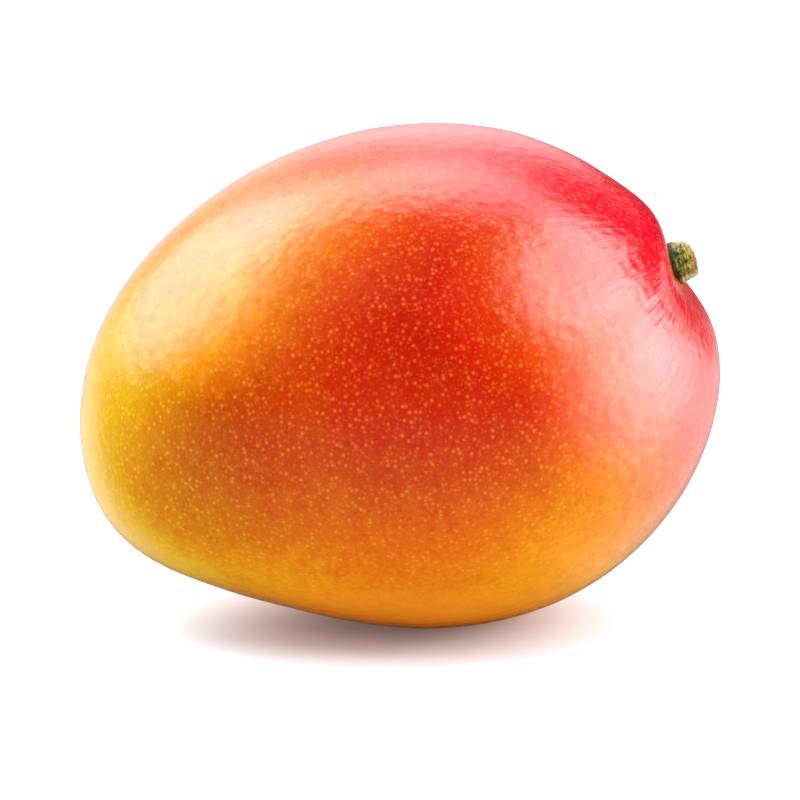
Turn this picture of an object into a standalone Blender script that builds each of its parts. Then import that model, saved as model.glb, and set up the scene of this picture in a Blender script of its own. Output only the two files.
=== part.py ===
"""A ripe mango lying on its cheek, with the cut stub of its stem.

Two solids: the fruit, one whole body with a small flat spot where it lies, and the
stem, a woody stub whose root stands in a shallow socket in the fruit.

Metres, +Z up. The origin is the middle of the flat spot, +X points along the fruit
towards the stem, and -Y is the belly side, where the sinus and the beak are.
"""

import math
from collections import namedtuple

import bmesh
import bpy
from mathutils import Matrix, Vector

MM = 0.001

# The fruit as an egg: its three sizes, how much wider it gets towards the stem, and how
# far its two ends bend towards the belly
LENGTH = 119 * MM
HEIGHT = 96.5 * MM
DEPTH = 101 * MM
HEIGHT_TAPER = 0.06
DEPTH_TAPER = 0.10
BELLY_BEND = 0.6 * MM

# Swells and hollows of the egg. Height is outwards. Up and front are degrees from the
# stem end, up in the side view and front towards the belly. Tall and wide are its spread
# in those two ways, in degrees too.
Swell = namedtuple("Swell", "height up front tall wide")
STEM_CAVITY = Swell(-4.1 * MM, 16, 6, 9.3, 15.4)
CROWN = Swell(2.1 * MM, 24, 13, 8, 22)
BELLY_SHOULDER = Swell(1.9 * MM, -9, 0, 28, 28)
BEAK = Swell(2.8 * MM, -164, 18, 20, 20)
SINUS = Swell(-5.4 * MM, -122, 3, 39, 45)
SWELLS = (STEM_CAVITY, CROWN, BELLY_SHOULDER, BEAK, SINUS)

# How it lies: the long axis rises towards the stem, and its weight presses the skin flat
REST_TILT = math.radians(11)
FLAT_SINK = 0.7 * MM

# Where the stem stub points, in degrees as above
STEM_UP = 8.5
STEM_FRONT = 10

# The stub's sizes. Its heights are from the skin in the middle of the stem cavity.
FIT_GAP = 0.3 * MM
SOCKET_RADIUS = 2.7 * MM
SOCKET_DEPTH = 3.0 * MM
ROOT_RADIUS = SOCKET_RADIUS - FIT_GAP
COLLAR_RADIUS = 4.0 * MM
NECK_RADIUS = 3.4 * MM
END_RADIUS = 3.1 * MM
STUB_HEIGHT = 5.1 * MM
RIDGE_COUNT = 5
RIDGE_SHARE = 0.05
CUT_SLANT = 0.08

SKIN_SEGMENTS = 72
SKIN_RINGS = 54
STEM_SEGMENTS = 30
WELD = 0.001 * MM
SMALLEST_SINE = 1e-6

SKIN_COLOUR = (0.80, 0.20, 0.02, 1)
BARK_COLOUR = (0.16, 0.17, 0.04, 1)


def direction(up, front):
    """The unit vector that lies so many degrees up and to the front of the stem end."""
    up, front = math.radians(up), math.radians(front)
    return Vector((
        math.cos(up) * math.cos(front),
        -math.sin(front),
        math.sin(up) * math.cos(front),
    ))


def skin_point(way):
    """Where the skin lies from the fruit's middle, in the direction of the unit vector way."""
    point = Vector((
        LENGTH / 2 * way.x,
        DEPTH / 2 * way.y * (1 + DEPTH_TAPER * way.x) - BELLY_BEND * way.x**2,
        HEIGHT / 2 * way.z * (1 + HEIGHT_TAPER * way.x),
    ))
    for swell in SWELLS:
        middle = direction(swell.up, swell.front)
        upwards = direction(swell.up + 90, 0)
        sideways = middle.cross(upwards)
        off = math.degrees(way.angle(middle))
        across = Vector((way.dot(upwards) / swell.tall, way.dot(sideways) / swell.wide))
        across *= off / max(math.sin(math.radians(off)), SMALLEST_SINE)
        point += way * swell.height * math.exp(-across.length_squared)
    return point


def turned_to(way):
    """The rotation that points +Z along way."""
    return way.to_track_quat("Z", "Y").to_matrix().to_4x4()


def material(name, colour, roughness):
    made = bpy.data.materials.new(name)
    made.use_nodes = True
    shader = made.node_tree.nodes["Principled BSDF"]
    shader.inputs["Base Color"].default_value = colour
    shader.inputs["Roughness"].default_value = roughness
    shader.inputs["Metallic"].default_value = 0
    return made


def smooth_object(name, bm, collection):
    """Turns a bmesh into a smooth-shaded object of the collection."""
    mesh = bpy.data.meshes.new(name)
    bm.normal_update()
    bmesh.ops.recalc_face_normals(bm, faces=bm.faces)
    bm.to_mesh(mesh)
    bm.free()
    mesh.shade_smooth()
    made = bpy.data.objects.new(name, mesh)
    collection.objects.link(made)
    return made


def press_flat(verts, resting):
    """Presses the skin flat where it lies. Returns the middle of that spot, as it lies."""
    level = min((resting @ v.co).z for v in verts) + FLAT_SINK
    spot = []
    for v in verts:
        lying = resting @ v.co
        if lying.z < level:
            lying.z = level
            v.co = resting.inverted() @ lying
            spot.append(lying)
    middle_x = (min(p.x for p in spot) + max(p.x for p in spot)) / 2
    middle_y = (min(p.y for p in spot) + max(p.y for p in spot)) / 2
    return Vector((middle_x, middle_y, level))


def make_fruit(collection, resting):
    """A sphere with its pole in the stem cavity, drawn out to the skin."""
    pole = turned_to(direction(STEM_CAVITY.up, STEM_CAVITY.front))
    bm = bmesh.new()
    bmesh.ops.create_uvsphere(
        bm, u_segments=SKIN_SEGMENTS, v_segments=SKIN_RINGS, radius=1, matrix=pole
    )
    for v in bm.verts:
        v.co = skin_point(v.co.normalized())
    spot = press_flat(bm.verts, resting)
    fruit = smooth_object("fruit", bm, collection)
    fruit.data.materials.append(material("mango_skin", SKIN_COLOUR, 0.3))
    return fruit, spot


def cut_socket(fruit, seat, cutters):
    """The plain round hole in which the root of the stem stands."""
    bm = bmesh.new()
    bmesh.ops.create_cone(
        bm,
        cap_ends=True,
        segments=STEM_SEGMENTS,
        radius1=SOCKET_RADIUS,
        radius2=SOCKET_RADIUS,
        depth=2 * SOCKET_DEPTH,
        matrix=seat,
    )
    cutter = smooth_object("socket_cutter", bm, cutters)
    cutter.hide_render = True
    cutter.display_type = "WIRE"
    cut = fruit.modifiers.new("stem_socket", "BOOLEAN")
    cut.operation = "DIFFERENCE"
    cut.solver = "EXACT"
    cut.object = cutter
    return cutter


def stub_profile():
    """Radius and height up the stub, from the middle of its root to the middle of its cut."""
    return (
        (0, FIT_GAP - SOCKET_DEPTH),
        (ROOT_RADIUS, FIT_GAP - SOCKET_DEPTH),
        (ROOT_RADIUS, 0.12 * STUB_HEIGHT),
        (COLLAR_RADIUS, 0.28 * STUB_HEIGHT),
        (COLLAR_RADIUS, 0.44 * STUB_HEIGHT),
        (NECK_RADIUS, 0.66 * STUB_HEIGHT),
        (END_RADIUS, 0.80 * STUB_HEIGHT),
        (END_RADIUS, 0.92 * STUB_HEIGHT),
        (0.85 * END_RADIUS, STUB_HEIGHT),
        (0.45 * END_RADIUS, 0.97 * STUB_HEIGHT),
        (0, 0.95 * STUB_HEIGHT),
    )


def ridged(point):
    """Soft ridges down the part of the stub that stands above the skin, and a slanting cut."""
    above = min(1, max(0, point.z / (0.3 * STUB_HEIGHT)))
    turn = math.atan2(point.y, point.x)
    swell = 1 + RIDGE_SHARE * above * math.cos(RIDGE_COUNT * turn + math.sin(turn))
    slant = CUT_SLANT * point.x * max(0, point.z / STUB_HEIGHT) ** 2
    return Vector((point.x * swell, point.y * swell, point.z + slant))


def make_stem(collection, seat):
    """The stub's profile spun round its axis, then ridged."""
    bm = bmesh.new()
    line = [bm.verts.new((radius, 0, height)) for radius, height in stub_profile()]
    edges = [bm.edges.new(pair) for pair in zip(line, line[1:])]
    bmesh.ops.spin(
        bm, geom=line + edges, axis=(0, 0, 1), angle=2 * math.pi, steps=STEM_SEGMENTS
    )
    bmesh.ops.remove_doubles(bm, verts=bm.verts, dist=WELD)
    for v in bm.verts:
        v.co = seat @ ridged(v.co)
    stem = smooth_object("stem", bm, collection)
    stem.data.materials.append(material("stem_bark", BARK_COLOUR, 0.6))
    return stem


def collection_named(name):
    made = bpy.data.collections.new(name)
    bpy.context.scene.collection.children.link(made)
    return made


def main():
    for obj in list(bpy.data.objects):
        bpy.data.objects.remove(obj)
    mango = collection_named("mango")
    cutters = collection_named("cutters")

    resting = Matrix.Rotation(-REST_TILT, 4, "Y")
    base = skin_point(direction(STEM_CAVITY.up, STEM_CAVITY.front))
    seat = Matrix.Translation(base) @ turned_to(direction(STEM_UP, STEM_FRONT))

    fruit, spot = make_fruit(mango, resting)
    pieces = (fruit, make_stem(mango, seat), cut_socket(fruit, seat, cutters))

    lying = bpy.data.objects.new("lying", None)
    lying.matrix_world = Matrix.Translation(-spot) @ resting
    mango.objects.link(lying)
    for piece in pieces:
        piece.parent = lying


main()
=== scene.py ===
"""A ripe mango lying on its cheek, in soft studio light.

The skin is one closed piece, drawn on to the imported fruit, and the cut stub of the stem
is another. The studio round them is a white floor, soft lights with dark cards beside
them, and wide weak lamps that leave no highlight.
"""

import math

import bpy
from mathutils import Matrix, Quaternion, Vector


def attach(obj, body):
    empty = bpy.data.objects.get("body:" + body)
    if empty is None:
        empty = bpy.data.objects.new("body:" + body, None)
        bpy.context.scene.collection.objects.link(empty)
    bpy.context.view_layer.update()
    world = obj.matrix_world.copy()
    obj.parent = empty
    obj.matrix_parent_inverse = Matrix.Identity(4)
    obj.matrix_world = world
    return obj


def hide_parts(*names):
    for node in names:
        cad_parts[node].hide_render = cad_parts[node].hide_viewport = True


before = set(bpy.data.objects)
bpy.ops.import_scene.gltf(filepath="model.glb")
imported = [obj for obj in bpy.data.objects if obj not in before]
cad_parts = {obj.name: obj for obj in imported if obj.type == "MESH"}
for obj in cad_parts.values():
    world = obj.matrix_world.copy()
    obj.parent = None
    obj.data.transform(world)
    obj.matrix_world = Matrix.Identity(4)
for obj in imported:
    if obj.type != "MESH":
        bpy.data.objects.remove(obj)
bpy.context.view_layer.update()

MM = 0.001

# The fruit lies with its stem end raised
FRUIT_MIDDLE = Vector((-6.58, -0.16, 43.95)) * MM
REST_TILT = math.radians(11)
EGG = (59.5, 50.5, 48.3)

# Where the skin stands out a little more: the middle, how far it is moved and the reach
SWELLS = (
    (Vector((0, 0, 93)) * MM, Vector((0.05, 0, 0.42)) * MM, 54 * MM),
    (Vector((34, 0, 10)) * MM, Vector((0.14, 0, -0.24)) * MM, 36 * MM),
)
SWELL_CORE = 4 * MM
SKIN_SPLITS = 7
SKIN_WAVES = (16 * MM, 0.15 * MM)
GROUND_DEPTH = 0.25 * MM
DOUBLES = 0.01 * MM

# The middle of the stem cavity, and where the stub points from there
STEM_SEAT = Vector((44.31, -6.22, 67.37)) * MM
STEM_AXIS = Vector((0.9283, -0.1736, 0.3287))
STEM_TURN = STEM_AXIS.to_track_quat("Z", "Y")
STUB_PLACE = STEM_SEAT + Vector((0.30, 0.80, 0.15)) * MM
SOCKET_RADIUS = 2.75 * MM
SOCKET_REACH = 6 * MM

# The camera looks at the fruit from its belly side
VIEW_AZIMUTH = math.radians(-6)
VIEW_RISE = math.radians(12)
VIEW_DISTANCE = 0.8
VIEW_RIGHT = 1.0875 * MM
VIEW_DOWN = 2.051 * MM
LENS = 192
SENSOR_WIDTH = 36
CLIP_NEAR = 0.05
CLIP_FAR = 20


class Field:
    """A number that varies over a surface. Plain arithmetic on it adds Math nodes."""

    def __init__(self, nodes, socket):
        self.nodes = nodes
        self.socket = socket

    def __add__(self, other):
        return self.nodes.math("ADD", self, other)

    def __sub__(self, other):
        return self.nodes.math("SUBTRACT", self, other)

    def __rsub__(self, other):
        return self.nodes.math("SUBTRACT", other, self)

    def __mul__(self, other):
        return self.nodes.math("MULTIPLY", self, other)

    __radd__ = __add__
    __rmul__ = __mul__


class Nodes:
    """Adds nodes to a node tree."""

    def __init__(self, tree):
        self.tree = tree

    def plug(self, socket, value):
        """Links a field to a socket, or gives the socket a plain value."""
        if isinstance(value, Field):
            self.tree.links.new(value.socket, socket)
        elif isinstance(value, tuple) and socket.type == "RGBA":
            socket.default_value = (*value, 1)
        else:
            socket.default_value = value

    def node(self, kind, settings, inputs, output=0):
        """Adds a node of a kind: its settings first, then its sockets."""
        made = self.tree.nodes.new(kind)
        for name, value in settings.items():
            if name == "stops":
                for place, colour in value[1:-1]:
                    made.color_ramp.elements.new(place)
                for element, (place, colour) in zip(made.color_ramp.elements, value):
                    element.position = place
                    element.color = (*colour, 1)
            else:
                setattr(made, name, value)
        for name, value in inputs.items():
            self.plug(made.inputs[name], value)
        return Field(self, made.outputs[output])

    def math(self, operation, first, second):
        return self.node("ShaderNodeMath", {"operation": operation}, {0: first, 1: second})

    def step(self, value, low, high):
        """A smooth step from 0 at low to 1 at high."""
        return self.node(
            "ShaderNodeMapRange",
            {"interpolation_type": "SMOOTHSTEP"},
            {"Value": value, "From Min": low, "From Max": high},
        )

    def vector(self, operation, first, second=(0, 0, 0), output="Vector"):
        return self.node(
            "ShaderNodeVectorMath", {"operation": operation}, {0: first, 1: second}, output
        )

    def mix(self, share, first, second):
        """A colour that goes from the first to the second."""
        return self.node(
            "ShaderNodeMix", {"data_type": "RGBA"}, {0: share, 6: first, 7: second}, 2
        )

    def noise(self, where, size, detail=2, rough=0.5):
        """Soft noise round 0.5, with features of a size in the units of where."""
        return self.node(
            "ShaderNodeTexNoise",
            {},
            {"Vector": where, "Scale": 1 / size, "Detail": detail, "Roughness": rough},
        )

    def cells(self, where, size, output="Distance"):
        """Distance to the nearest of many scattered points, as a share of their spacing."""
        return self.node(
            "ShaderNodeTexVoronoi", {}, {"Vector": where, "Scale": 1 / size}, output
        )


class Finish(Nodes):
    """A material of one shader, whose patterns are read from the object's own place."""

    def __init__(self, name, roughness):
        self.material = bpy.data.materials.new(name)
        self.material.use_nodes = True
        super().__init__(self.material.node_tree)
        self.shader = self.tree.nodes["Principled BSDF"]
        self.shader.inputs["Roughness"].default_value = roughness

    def millimetres(self, middle, turn):
        """The place on the piece in millimetres from middle, in a frame that is turned."""
        return self.node(
            "ShaderNodeMapping",
            {"vector_type": "TEXTURE"},
            {
                "Vector": self.node("ShaderNodeTexCoord", {}, {}, "Object"),
                "Location": middle,
                "Rotation": turn,
                "Scale": (MM, MM, MM),
            },
        )

    def feed(self, socket, value):
        self.plug(self.shader.inputs[socket], value)

    def relief(self, height):
        """Bumps whose height is in millimetres."""
        self.feed(
            "Normal",
            self.node("ShaderNodeBump", {}, {"Height": height, "Strength": 1, "Distance": MM}),
        )


def select_only(obj):
    bpy.ops.object.select_all(action="DESELECT")
    obj.select_set(True)
    bpy.context.view_layer.objects.active = obj


def new_primitive(add, name, **sizes):
    """Adds a primitive and settles its place, turn and scale in its mesh."""
    bpy.ops.object.select_all(action="DESELECT")
    add(**sizes)
    made = bpy.context.active_object
    made.name = name
    made.data.name = name
    bpy.ops.object.transform_apply()
    return made


def select_faces(obj, wanted):
    """In edit mode, with just the faces selected whose middle is wanted."""
    select_only(obj)
    bpy.ops.object.mode_set(mode="EDIT")
    bpy.ops.mesh.select_mode(type="FACE")
    bpy.ops.mesh.select_all(action="DESELECT")
    bpy.ops.object.mode_set(mode="OBJECT")
    for face in obj.data.polygons:
        face.select = wanted(face.center)
    bpy.ops.object.mode_set(mode="EDIT")


def select_points(obj, wanted):
    """In edit mode, with just the points selected whose place is wanted."""
    select_only(obj)
    bpy.ops.object.mode_set(mode="EDIT")
    bpy.ops.mesh.select_mode(type="VERT")
    bpy.ops.mesh.select_all(action="DESELECT")
    bpy.ops.object.mode_set(mode="OBJECT")
    for point in obj.data.vertices:
        point.select = wanted(point.co)
    bpy.ops.object.mode_set(mode="EDIT")


def apply_modifier(obj, kind, **settings):
    select_only(obj)
    modifier = obj.modifiers.new(kind.lower(), kind)
    for name, value in settings.items():
        setattr(modifier, name, value)
    bpy.ops.object.modifier_apply(modifier=modifier.name)


def subdivide(obj, levels):
    apply_modifier(obj, "SUBSURF", levels=levels, render_levels=levels)


def waves(obj, size, height):
    """Pushes the surface in and out with soft noise of a size."""
    texture = bpy.data.textures.new(f"{obj.name}_waves", "CLOUDS")
    texture.noise_scale = size
    texture.noise_depth = 1
    apply_modifier(
        obj, "DISPLACE", texture=texture, strength=2 * height, texture_coords="LOCAL"
    )


def off_stem_axis(place):
    """How far a place is from the line through the stem."""
    return (place - STEM_SEAT).cross(STEM_AXIS).length


def in_socket(place):
    near = abs((place - STEM_SEAT) @ STEM_AXIS) < SOCKET_REACH
    return near and off_stem_axis(place) < SOCKET_RADIUS


def skin_guide():
    """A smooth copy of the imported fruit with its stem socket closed, to draw the skin on to."""
    guide = bpy.data.objects.new("skin_guide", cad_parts["fruit"].data.copy())
    bpy.context.scene.collection.objects.link(guide)
    select_only(guide)
    bpy.ops.object.mode_set(mode="EDIT")
    bpy.ops.mesh.select_all(action="SELECT")
    bpy.ops.mesh.remove_doubles(threshold=DOUBLES)
    bpy.ops.object.mode_set(mode="OBJECT")
    select_faces(guide, in_socket)
    bpy.ops.mesh.delete(type="FACE")
    bpy.ops.mesh.select_mode(type="EDGE")
    bpy.ops.mesh.select_all(action="DESELECT")
    bpy.ops.mesh.select_non_manifold()
    bpy.ops.mesh.edge_face_add()
    bpy.ops.mesh.select_all(action="SELECT")
    bpy.ops.mesh.tris_convert_to_quads()
    bpy.ops.object.mode_set(mode="OBJECT")
    subdivide(guide, 2)
    return guide


def make_skin():
    """A fine egg drawn on to the fruit, made a little uneven and fuller in two places."""
    guide = skin_guide()
    skin = new_primitive(
        bpy.ops.mesh.primitive_ico_sphere_add,
        "mango_skin",
        subdivisions=SKIN_SPLITS,
        radius=MM,
        location=FRUIT_MIDDLE,
        rotation=(0, -REST_TILT, 0),
        scale=EGG,
    )
    apply_modifier(skin, "SHRINKWRAP", target=guide, wrap_method="NEAREST_SURFACEPOINT")
    apply_modifier(skin, "SMOOTH", factor=0.5, iterations=4)
    bpy.data.objects.remove(guide)
    waves(skin, *SKIN_WAVES)
    for middle, move, reach in SWELLS:
        select_points(skin, lambda place: (place - middle).length < SWELL_CORE)
        bpy.ops.transform.translate(
            value=move,
            use_proportional_edit=True,
            proportional_edit_falloff="SMOOTH",
            proportional_size=reach,
        )
        bpy.ops.object.mode_set(mode="OBJECT")
    select_points(skin, lambda place: place.z < GROUND_DEPTH)
    bpy.ops.transform.resize(value=(1, 1, 0), center_override=(0, 0, 0))
    bpy.ops.object.mode_set(mode="OBJECT")
    skin.data.shade_smooth()
    skin.data.materials.clear()
    skin.data.materials.append(skin_finish())
    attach(skin, "root")
    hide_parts("fruit")
    return skin


# The stub as rings from its hidden foot to the middle of its cut, in millimetres: a
# collar, wrinkles up the neck, a rim that stands out a little, then the cut and its core
STUB_RINGS = (
    (3.30, -1.60),
    (3.80, -0.50),
    (4.00, 0.50),
    (4.10, 1.10),
    (4.02, 1.55),
    (3.74, 1.85),
    (3.84, 2.20),
    (3.80, 2.55),
    (3.56, 2.85),
    (3.62, 3.20),
    (3.55, 3.60),
    (3.32, 3.90),
    (3.38, 4.25),
    (3.32, 4.60),
    (3.05, 4.85),
    (2.75, 4.85),
    (2.50, 4.55),
    (2.00, 4.38),
    (1.45, 4.42),
    (1.15, 4.60),
    (0.80, 4.66),
    (0.40, 4.60),
)
STUB_SIDES = 40
STUB_SPLITS = 2

# Ridges down the stub: the turn round it in degrees and how far they swell. Each has a
# crest on a wider foot, which reach so many degrees to either side.
STUB_RIDGES = (
    (-78, 1.04),
    (-35, 0.97),
    (8, 1.05),
    (62, 1.03),
    (118, 0.96),
    (160, 1.05),
    (215, 0.96),
)
RIDGE_REACHES = (7, 16)

# How the cut is worn down: above this height, on this side of the stub, and by how much.
# It is worn sideways by a share of that.
WORN_TOP = ((3.7, 1.2, -0.20), (4.1, 2.2, -0.32))
WORN_FOOT = ((3.9, -1.8, -0.15), (4.1, -2.5, -0.20))
WORN_SIDEWAYS = 0.5

# The size and height of the stub's wrinkles, bumps and grain, in millimetres
STUB_WAVES = ((2.2, 0.16), (0.8, 0.09), (0.3, 0.03))


def near_turn(place, turn, reach):
    """Whether a place lies within reach of a turn round the stub."""
    off = math.degrees(math.atan2(place.y, place.x)) - turn
    return abs((off + 180) % 360 - 180) < reach


def ridge_stub(stem):
    for turn, swell in STUB_RIDGES:
        for reach in RIDGE_REACHES:
            select_points(stem, lambda place: near_turn(place, turn, reach))
            bpy.ops.transform.resize(value=(swell, swell, 1), center_override=(0, 0, 0))
            bpy.ops.object.mode_set(mode="OBJECT")


def wear_stub(stem):
    for height, side, drop in WORN_TOP:
        select_points(stem, lambda place: place.z > height * MM and place.y > side * MM)
        bpy.ops.transform.translate(value=(0, WORN_SIDEWAYS * drop * MM, drop * MM))
        bpy.ops.object.mode_set(mode="OBJECT")
    for height, side, drop in WORN_FOOT:
        select_points(stem, lambda place: place.z > height * MM and place.y < side * MM)
        bpy.ops.transform.translate(value=(0, -WORN_SIDEWAYS * drop * MM, drop * MM))
        bpy.ops.object.mode_set(mode="OBJECT")


def make_stem():
    """A circle drawn up ring by ring to the cut, then ridged, worn and roughened."""
    radius, height = STUB_RINGS[0]
    stem = new_primitive(
        bpy.ops.mesh.primitive_circle_add,
        "stem_stub",
        vertices=STUB_SIDES,
        radius=radius * MM,
        fill_type="NGON",
        location=(0, 0, height * MM),
    )
    select_faces(stem, lambda place: True)
    for (radius, height), (next_radius, next_height) in zip(STUB_RINGS, STUB_RINGS[1:]):
        rise = (next_height - height) * MM
        bpy.ops.mesh.extrude_region_move(TRANSFORM_OT_translate={"value": (0, 0, rise)})
        wider = next_radius / radius
        bpy.ops.transform.resize(value=(wider, wider, 1), center_override=(0, 0, 0))
    bpy.ops.mesh.select_all(action="SELECT")
    bpy.ops.mesh.normals_make_consistent(inside=False)
    bpy.ops.object.mode_set(mode="OBJECT")
    ridge_stub(stem)
    wear_stub(stem)
    subdivide(stem, STUB_SPLITS)
    for size, height in STUB_WAVES:
        waves(stem, size * MM, height * MM)
    stem.rotation_mode = "QUATERNION"
    stem.rotation_quaternion = STEM_TURN
    stem.location = STUB_PLACE
    select_only(stem)
    bpy.ops.object.transform_apply()
    stem.data.shade_smooth()
    stem.data.materials.append(stem_finish())
    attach(stem, "root")
    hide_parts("stem")
    return stem


def heading(up, front):
    """The direction so many degrees up and to the front of the stem end of the fruit."""
    up, front = math.radians(up), math.radians(front)
    return (
        math.cos(up) * math.cos(front),
        -math.sin(front),
        math.sin(up) * math.cos(front),
    )


# Skin colours by how ripe the place looks, from deep red to yellow, and the same for the
# pale dots on it
RIPE_COLOURS = (
    (0.00, (0.40, 0.007, 0.001)),
    (0.20, (0.40, 0.017, 0.001)),
    (0.40, (0.42, 0.045, 0.001)),
    (0.60, (0.47, 0.104, 0.001)),
    (0.80, (0.56, 0.190, 0.001)),
    (1.00, (0.62, 0.330, 0.003)),
)
DOT_COLOURS = (
    (0.00, (0.64, 0.085, 0.012)),
    (0.50, (0.62, 0.190, 0.012)),
    (1.00, (0.66, 0.390, 0.020)),
)
CRIMSON = (0.45, 0.002, 0.018)
SPECK = (0.12, 0.04, 0.005)
# A pale orange painted on the underside near the ground, as painted bounce light
PAINTED_BOUNCE = (0.94, 0.26, 0.012)
STEM_SIDE = (0.66, 0.055, 0.006)

# Bark colours
# The darkest bark is both dark patches of bark and painted shade at the foot of the stub
DARK_BARK_AND_SHADE = (0.014, 0.028, 0.004)
GREEN_BARK = (0.120, 0.130, 0.004)
PALE_BARK = (0.42, 0.40, 0.05)
# Pale colour of the stub's sides: partly wax bloom, partly painted sheen from grazing light
WAX_AND_SHEEN = (0.36, 0.31, 0.18)
TAN = (0.40, 0.21, 0.06)
BROWN = (0.09, 0.028, 0.006)

# Where the skin is riper or redder than the rest: up and front as in heading, how far the
# patch reaches in degrees, and how much riper its middle is
RIPE_PATCHES = (
    (158, -3, 107, 1.05),
    (-80, 45, 76, 0.96),
    (-68, -54, 102, 0.95),
    (-179, 44, 29, -0.25),
    (82, 48, 42, 0.36),
    (34, 47, 26, 0.37),
    (168, 79, 53, -0.30),
    (167, 34, 46, 0.33),
    (-40, 59, 54, 0.13),
    (143, 24, 17, -0.20),
    (-157, 0, 35, 0.39),
)
LEAST_RIPE = -0.32

# Where the skin is darker or brighter than its ripeness says, partly its own tone and partly
# painted shade and painted light, in the same terms
TONE_AND_LIGHT_PATCHES = (
    (170, 31, 36, -0.23),
    (72, 61, 22, -0.12),
    (4, 82, 59, -0.08),
    (143, 37, 17, 0.25),
    (46, 59, 17, 0.20),
    (1, 47, 25, 0.36),
    (-87, 38, 53, 0.27),
)
BLUSH = (33, -8)
UNDERSIDE = (-75, 30)
GROUND = (-101, 0)

# Between which values of nearness each of these zones fades in
PAINTED_BOUNCE_EDGE = (0.52, 0.90)
CRIMSON_EDGE = (0.565, 0.91)
SPECKS_EDGE = (0.55, 0.8)
STREAKS_EDGE = (0.5, 0.95)

# The middle of the stem cavity in the fruit's own frame, and how far from it the skin
# beside the stem goes over into the rest, in millimetres
CAVITY = (54.4, -6.1, 13.3)
BESIDE_STEM = (4.0, 8.5)
STEM_WAY = (16, 6)

# The gloss of the skin and of the bark
SKIN_ROUGHNESS = 0.13
SKIN_SPECULAR = 0.7
BARK_ROUGHNESS = 0.6
BARK_SPECULAR = 0.25

# Sizes in millimetres of what varies over the skin
BLOTCH_SIZE = 3.4
MOTTLE_SIZE = 0.9
RIPPLE_SIZE = 2.2
GRAIN_SIZE = 0.5

# Streaks: how many fit round the fruit, and how drawn out they are
STREAKS_ROUND = (22, 22, 22)
STREAKS_ALONG = (0.16, 0.16, 0.16)

# Dots: their spacing, where one is full and where it ends as shares of that, and the luck
# at which one is strong and at which it is missing
BIG_DOTS = (1.05, 0.0, 0.52, 0.9, -0.2)
SMALL_DOTS = (0.6, 0.0, 0.6, 1.0, 0.1)
SPECKS = (1.5, 0.04, 0.13, 0.8, 0.6)

# Where each part of the bark starts and is full: the pale sides, partly wax and partly painted
# sheen, by how far out they are, the rest, with the painted shade at the foot, by height, in
# millimetres
SHEEN_SIDE = (2.4, 3.4)
BARK_FOOT_SHADE = (1.2, 2.4)
BARK_END = (4.1, 4.5)
BARK_RIM = (4.50, 4.72)


def skin_finish():
    """Glossy skin: patches of ripeness, tone patches with painted light and shade, mottling,
    crimson by the stem, painted bounce light on the underside, dots and specks.
    """
    skin = Finish("mango_skin", SKIN_ROUGHNESS)
    skin.feed("Specular IOR Level", SKIN_SPECULAR)
    place = skin.millimetres(FRUIT_MIDDLE, (0, -REST_TILT, 0))
    way = skin.vector("NORMALIZE", place)

    def along(up, front):
        return skin.vector("DOT_PRODUCT", way, heading(up, front), "Value")

    def scattered(size, inner, outer, luckiest, least):
        """Soft dots of one size, some of them faint or missing."""
        near = 1 - skin.step(skin.cells(place, size), inner, outer)
        luck = skin.node("ShaderNodeSeparateColor", {}, {0: skin.cells(place, size, "Color")})
        return near * skin.step(luck, least, luckiest)

    # Streaks that run out from the stem
    lengthwise = skin.vector("PROJECT", place, heading(*STEM_WAY))
    around = skin.vector("NORMALIZE", skin.vector("SUBTRACT", place, lengthwise))
    around = skin.vector("MULTIPLY", around, STREAKS_ROUND)
    lengthwise = skin.vector("MULTIPLY", lengthwise, STREAKS_ALONG)
    streaks = skin.noise(skin.vector("ADD", around, lengthwise), 1, 2, 0.6) - 0.5

    def patch(up, front, reach):
        """1 in the middle of a round patch, falling to 0 so many degrees away."""
        return skin.step(along(up, front), math.cos(math.radians(reach)), 1)

    blotches = skin.noise(place, BLOTCH_SIZE, 3, 0.6) - 0.5
    mottle = skin.noise(place, MOTTLE_SIZE, 3, 0.65) - 0.5
    shade = LEAST_RIPE
    for up, front, reach, amount in RIPE_PATCHES:
        shade = shade + amount * patch(up, front, reach)
    shade = shade + 0.26 * blotches + 0.26 * mottle
    colours = skin.node("ShaderNodeValToRGB", {"stops": RIPE_COLOURS}, {"Fac": shade})
    # Tone patches scale the colour: partly the skin's own tone, partly painted shade and painted
    # light
    tone_and_light = 1
    for up, front, reach, amount in TONE_AND_LIGHT_PATCHES:
        tone_and_light = tone_and_light + amount * patch(up, front, reach)
    colours = skin.vector("MULTIPLY", colours, tone_and_light)
    # Painted bounce light: the underside towards the ground is made paler and brighter
    colours = skin.mix(0.95 * skin.step(along(*GROUND), *PAINTED_BOUNCE_EDGE), colours, PAINTED_BOUNCE)
    crimson = along(*BLUSH) + 0.16 * blotches + 0.10 * streaks
    crimson = skin.step(crimson, *CRIMSON_EDGE)
    colours = skin.mix(crimson, colours, CRIMSON)
    off_cavity = skin.vector("DISTANCE", place, CAVITY, "Value")
    beside = 1 - skin.step(off_cavity, *BESIDE_STEM)
    colours = skin.mix(0.85 * beside, colours, STEM_SIDE)

    dots = skin.math("MAXIMUM", scattered(*BIG_DOTS), 0.5 * scattered(*SMALL_DOTS))
    pale = skin.node("ShaderNodeValToRGB", {"stops": DOT_COLOURS}, {"Fac": shade})
    colours = skin.mix(0.8 * dots, colours, pale)
    specks = scattered(*SPECKS) * skin.step(along(*UNDERSIDE), *SPECKS_EDGE)
    colours = skin.mix(0.8 * specks, colours, SPECK)
    skin.feed("Base Color", colours)

    ripples = skin.noise(place, RIPPLE_SIZE, 0, 0.5)
    grain = skin.noise(place, GRAIN_SIZE, 1, 0.5)
    drawn = skin.step(along(*STEM_WAY), *STREAKS_EDGE)
    relief = 0.10 * ripples + 0.02 * grain + (0.02 + 0.12 * drawn) * streaks
    skin.relief(relief + 0.012 * dots)
    return skin.material


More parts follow.
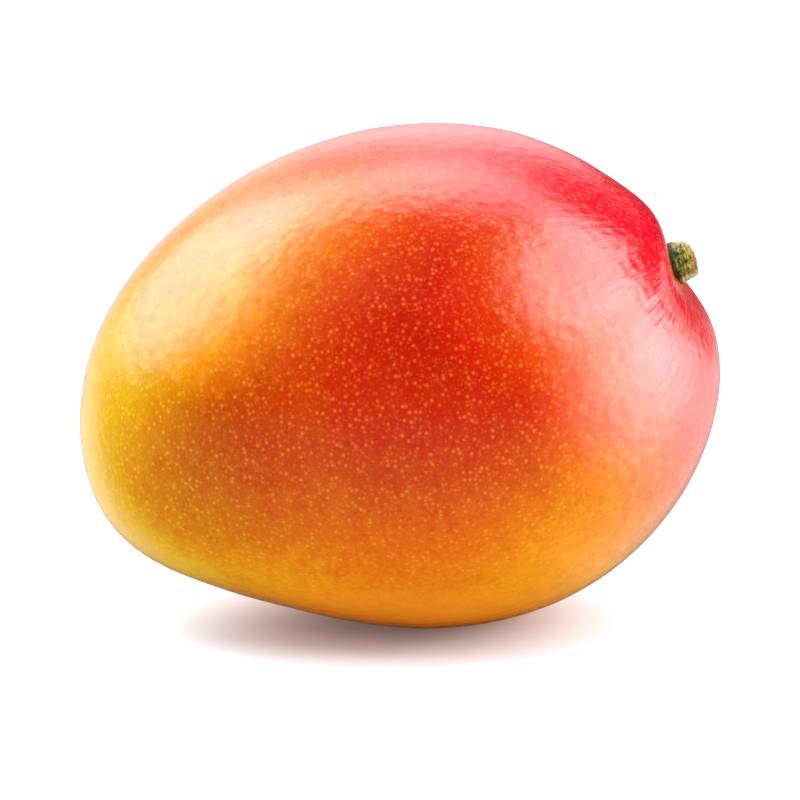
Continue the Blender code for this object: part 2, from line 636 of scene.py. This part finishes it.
def stem_finish():
    """Green bark with painted shade near the skin, pale wrinkles, waxy sides partly painted as
    sheen, and a tan cut.
    """
    bark = Finish("stem_bark", BARK_ROUGHNESS)
    bark.feed("Specular IOR Level", BARK_SPECULAR)
    place = bark.millimetres(STUB_PLACE, STEM_TURN.to_euler())
    height = bark.node("ShaderNodeSeparateXYZ", {}, {0: place}, "Z")
    side = bark.math("ABSOLUTE", bark.node("ShaderNodeSeparateXYZ", {}, {0: place}, "Y"), 0)
    patches = bark.noise(place, 1.6, 3, 0.6) - 0.5
    wrinkles = bark.noise(bark.vector("MULTIPLY", place, (1, 1, 3)), 1.0, 3, 0.6) - 0.5
    fibres = bark.noise(bark.vector("MULTIPLY", place, (4, 4, 1)), 1.6, 2, 0.6) - 0.5

    green = bark.step(patches + 0.05 * height, -0.02, 0.22)
    colours = bark.mix(green, DARK_BARK_AND_SHADE, GREEN_BARK)
    raised = bark.step(wrinkles + 0.5 * patches + 0.03 * height, 0.09, 0.22)
    colours = bark.mix(0.8 * raised, colours, PALE_BARK)
    # Painted sheen: the stub's two sides are paler, partly wax bloom and partly painted sheen
    waxy_sheen = 0.75 * bark.step(side + 3 * patches + 2 * wrinkles, *SHEEN_SIDE)
    colours = bark.mix(waxy_sheen, colours, WAX_AND_SHEEN)
    # Painted shade: the stub is darkened near the skin, where shade falls
    foot_shade = 1 - bark.step(height + 3 * patches + 1.5 * wrinkles, *BARK_FOOT_SHADE)
    colours = bark.mix(0.85 * foot_shade, colours, DARK_BARK_AND_SHADE)
    end = bark.step(height + 2.0 * patches + 0.8 * wrinkles, *BARK_END)
    colours = bark.mix(end, colours, TAN)
    rim = bark.step(height + fibres + 1.4 * patches, *BARK_RIM)
    colours = bark.mix(0.9 * rim, colours, BROWN)
    bark.feed("Base Color", colours)
    bark.relief(0.10 * wrinkles + 0.08 * fibres + 0.10 * patches)
    return bark.material


def flat_finish(name, colour):
    plain = Finish(name, 0.9)
    plain.feed("Base Color", colour)
    plain.feed("Specular IOR Level", 0)
    return plain.material


def from_fruit(azimuth, rise):
    """The direction to a light: azimuth 0 is towards the belly side, 90 towards the stem."""
    azimuth, rise = math.radians(azimuth), math.radians(rise)
    return Vector((
        math.sin(azimuth) * math.cos(rise),
        -math.cos(azimuth) * math.cos(rise),
        math.sin(rise),
    ))


# The soft lights round the fruit: azimuth, rise, half width, half height, lean and how soft
# the edge is, then the brightness. All but the last two are in degrees.
SOFT_LIGHTS = (
    (-121, 35, 29.7, 23.1, 5, 0.43, 4.0),
    (77, 44, 19.7, 28.5, -80, 0.41, 4.4),
    (88, 6, 26.4, 23.5, -27, 0.98, 7.7),
    (-169, 66, 30.8, 12.2, -20, 1.00, 3.6),
    (175, 36, 14.1, 30.9, 15, 1.00, 2.0),
    (-145, -17, 26.5, 20.1, -62, 0.71, 1.2),
    (140, -14, 33.6, 16.2, 56, 0.87, 1.2),
)

# Dark cards in the same terms, which keep their light off the skin beside the stem
DARK_CARDS = (
    (137, 18, 39.5, 8.6, -33, 0.28, 0.99),
    (143, 0, 6.4, 11.7, 92, 0.80, 0.99),
    (124, 22, 22.2, 14.0, 180, 0.28, 0.96),
)
ROOM_LIGHT = 0.006

# Wide weak lamps: name, azimuth and rise in degrees, width in metres, brightness
FILLS = (
    ("left_fill", -80, 48, 1.4, 1.5),
    ("front_fill", -15, 30, 1.4, 0.5),
    ("top_fill", -20, 80, 1.4, 2.1),
)
FILL_DISTANCE = 1.2

FLOOR_SIZE = 12
FLOOR_COLOUR = (0.75, 0.84, 0.97)
FLOOR_GLOW = 0.07


def make_fill(name, azimuth, rise, size, brightness):
    """A wide weak lamp that leaves no highlight."""
    light = bpy.data.lights.new(name, "AREA")
    light.size = size
    light.energy = brightness * math.pi * size**2
    lamp = bpy.data.objects.new(name, light)
    bpy.context.scene.collection.objects.link(lamp)
    away = from_fruit(azimuth, rise)
    lamp.location = FRUIT_MIDDLE + FILL_DISTANCE * away
    lamp.rotation_mode = "QUATERNION"
    lamp.rotation_quaternion = away.to_track_quat("Z", "Y")
    lamp.visible_camera = False
    lamp.visible_glossy = False


def make_studio():
    """A white floor, white behind, and dark all round apart from the soft lights."""
    floor = new_primitive(
        bpy.ops.mesh.primitive_plane_add, "studio_floor", size=FLOOR_SIZE, location=(0, 0, 0)
    )
    white = flat_finish("white_floor", FLOOR_COLOUR)
    shader = white.node_tree.nodes["Principled BSDF"]
    shader.inputs["Emission Strength"].default_value = FLOOR_GLOW
    floor.data.materials.append(white)
    floor.visible_glossy = False

    world = bpy.data.worlds.new("studio")
    world.use_nodes = True
    bpy.context.scene.world = world
    nodes = Nodes(world.node_tree)
    way = nodes.node("ShaderNodeTexCoord", {}, {}, "Generated")

    def along(direction):
        return nodes.vector("DOT_PRODUCT", way, tuple(direction), "Value")

    def soft_light(azimuth, rise, wide, tall, lean, edge, brightness):
        """An oval patch of light that fades at its edge."""
        away = from_fruit(azimuth, rise)
        turn = Quaternion(away, math.radians(lean))
        right = turn @ Vector((0, 0, 1)).cross(away).normalized()
        up = away.cross(right)
        right, up = right / math.sin(math.radians(wide)), up / math.sin(math.radians(tall))
        off = along(right) * along(right) + along(up) * along(up)
        off = nodes.math("SQRT", off, 0)
        behind = nodes.math("LESS_THAN", along(away), 0)
        return brightness * (1 - nodes.step(off + 4 * behind, 1 - edge, 1 + edge))

    room = ROOM_LIGHT
    for light in SOFT_LIGHTS:
        room = room + soft_light(*light)
    for card in DARK_CARDS:
        room = room * (1 - soft_light(*card))
    backdrop = nodes.node("ShaderNodeLightPath", {}, {}, "Is Camera Ray")
    background = world.node_tree.nodes["Background"]
    background.inputs["Color"].default_value = (1, 1, 1, 1)
    nodes.plug(background.inputs["Strength"], backdrop + (1 - backdrop) * room)
    for fill in FILLS:
        make_fill(*fill)


def make_camera():
    back = from_fruit(math.degrees(VIEW_AZIMUTH), math.degrees(VIEW_RISE))
    right = Vector((math.cos(VIEW_AZIMUTH), math.sin(VIEW_AZIMUTH), 0))
    up = back.cross(right)
    camera = bpy.data.objects.new("camera", bpy.data.cameras.new("camera"))
    camera.data.lens = LENS
    camera.data.sensor_width = SENSOR_WIDTH
    camera.data.clip_start = CLIP_NEAR
    camera.data.clip_end = CLIP_FAR
    camera.location = (
        FRUIT_MIDDLE + VIEW_RIGHT * right - VIEW_DOWN * up + VIEW_DISTANCE * back
    )
    camera.rotation_mode = "QUATERNION"
    camera.rotation_quaternion = back.to_track_quat("Z", "Y")
    bpy.context.scene.collection.objects.link(camera)
    bpy.context.scene.camera = camera
    bpy.context.scene.view_settings.view_transform = "Standard"


make_skin()
make_stem()
make_studio()
make_camera()
